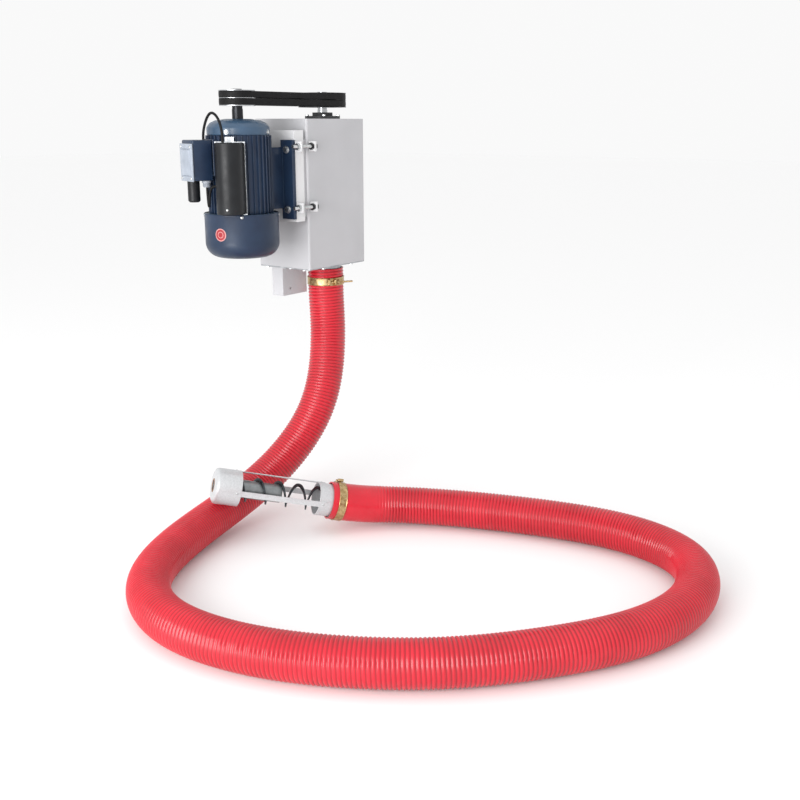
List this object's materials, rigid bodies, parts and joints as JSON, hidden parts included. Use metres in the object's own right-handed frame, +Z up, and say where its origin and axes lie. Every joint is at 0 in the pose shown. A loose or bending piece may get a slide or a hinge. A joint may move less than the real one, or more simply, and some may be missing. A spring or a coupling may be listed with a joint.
{
  "type": "flexible grain auger",
  "caption": "Wall-hung grain auger: belt-driven head with an electric motor, a sack spout, and a ribbed red suction hose with an inner spiral and a slotted intake cage.",
  "frame": {"origin": "centre of the wall mount on the head's back wall, on its outer face", "axes": "+X out of the back wall towards the wall it hangs on, +Z up along the shafts, +Y towards the side with the spout"},
  "size_m": [1.2172, 1.4532, 1.2535],
  "materials": {
    "box_paint": "satin light grey powder coat",
    "carriage_paint": "satin white paint",
    "galvanised": "spangled galvanised sheet",
    "motor_blue": "satin dark blue enamel on aluminium",
    "shield_blue": "satin steel-blue enamel",
    "lid_grey": "satin grey enamel",
    "zinc_hardware": "bright zinc plate",
    "dark_hardware": "black oxide",
    "yellow_zinc": "yellow passivated zinc plate",
    "bearing_steel": "ground bearing steel",
    "cast_iron": "sand-cast iron, painted dark grey",
    "pulley_black": "turned cast iron, black",
    "pulley_silver": "turned aluminium",
    "red_pvc": "ribbed flexible vinyl",
    "spiral_steel": "rolled spring steel, worn bright",
    "cage_steel": "galvanised tube and strip",
    "bronze": "sintered bronze",
    "copper": "enamelled copper wire",
    "lamination": "stacked electrical steel",
    "black_plastic": "moulded thermoplastic",
    "black_rubber": "wrapped rubber and sheath",
    "gland_grey": "moulded polyamide",
    "disc_red": "printed vinyl disc",
    "can_aluminium": "drawn can"
  },
  "bodies": {
    "housing": {"housing_shell": "box_paint", "base_plate": "galvanised", "mounting_plate": "galvanised", "discharge_spout": "box_paint", "inlet_pipe": "galvanised", "housing_bolts": "zinc_hardware", "bearing_housing": "cast_iron", "drive_bearing_outer": "bearing_steel", "motor_rail": "box_paint", "tension_lugs": "carriage_paint", "tension_nuts": "dark_hardware", "hose": "red_pvc", "hose_spiral": "spiral_steel", "inlet_clamp": "yellow_zinc", "cage_clamp": "yellow_zinc", "clamp_bolts": "yellow_zinc", "cage_collar": "cage_steel", "cage_strips": "cage_steel", "cage_end_cap": "cage_steel", "cage_bush": "bronze", "cage_rivets": "zinc_hardware", "v_belts": "black_rubber"},
    "carriage": {"motor_carriage": "carriage_paint", "tension_studs": "dark_hardware", "stud_lock_nuts": "zinc_hardware", "motor_frame": "motor_blue", "foot_bolts": "zinc_hardware", "upper_shield": "shield_blue", "lower_shield": "shield_blue", "fan_cowl": "motor_blue", "motor_screws": "zinc_hardware", "stator_core": "lamination", "stator_windings": "copper", "motor_bearing_outer": "bearing_steel", "terminal_box": "motor_blue", "terminal_lid": "lid_grey", "lid_screws": "zinc_hardware", "cable_gland": "gland_grey", "capacitor_bracket": "galvanised", "start_capacitor_cover": "black_plastic", "start_capacitor": "can_aluminium", "run_capacitor": "black_plastic", "terminal_lead": "black_rubber", "capacitor_lead": "black_rubber", "rating_disc": "disc_red"},
    "motor_rotor": {"motor_shaft": "bearing_steel", "rotor_core": "lamination", "motor_bearing_inner": "bearing_steel", "cooling_fan": "black_plastic", "motor_pulley": "pulley_silver", "motor_key": "zinc_hardware"},
    "drive": {"drive_shaft": "bearing_steel", "drive_bearing_inner": "bearing_steel", "driven_pulley": "pulley_black", "drive_key": "zinc_hardware", "thrower": "spiral_steel", "spiral_coupling": "spiral_steel"},
    "intake_auger": {"intake_core": "spiral_steel", "intake_spiral": "spiral_steel"}
  },
  "joints": [
    {"name": "tension_slide", "type": "slide", "parent": "housing", "child": "carriage", "axis": [1, 0, 0], "range_m": [-0.01, 0.008], "deforming": ["v_belts"]},
    {"name": "motor_spin", "type": "hinge", "parent": "carriage", "child": "motor_rotor", "pos_m": [-0.444, -0.015, 0.065], "axis": [0, 0, 1], "continuous": true},
    {"name": "drive_spin", "type": "hinge", "parent": "housing", "child": "drive", "pos_m": [-0.09, -0.015, 0], "axis": [0, 0, 1], "continuous": true},
    {"name": "intake_auger_spin", "type": "hinge", "parent": "housing", "child": "intake_auger", "pos_m": [-0.35, -0.23, -0.87], "axis": [-0.7761, 0.5821, 0.2425], "continuous": true}
  ],
  "couplings": [
    {"joint": "drive_spin", "follows": "motor_spin", "ratio": 0.66667},
    {"joint": "intake_auger_spin", "follows": "motor_spin", "ratio": -0.66667}
  ]
}
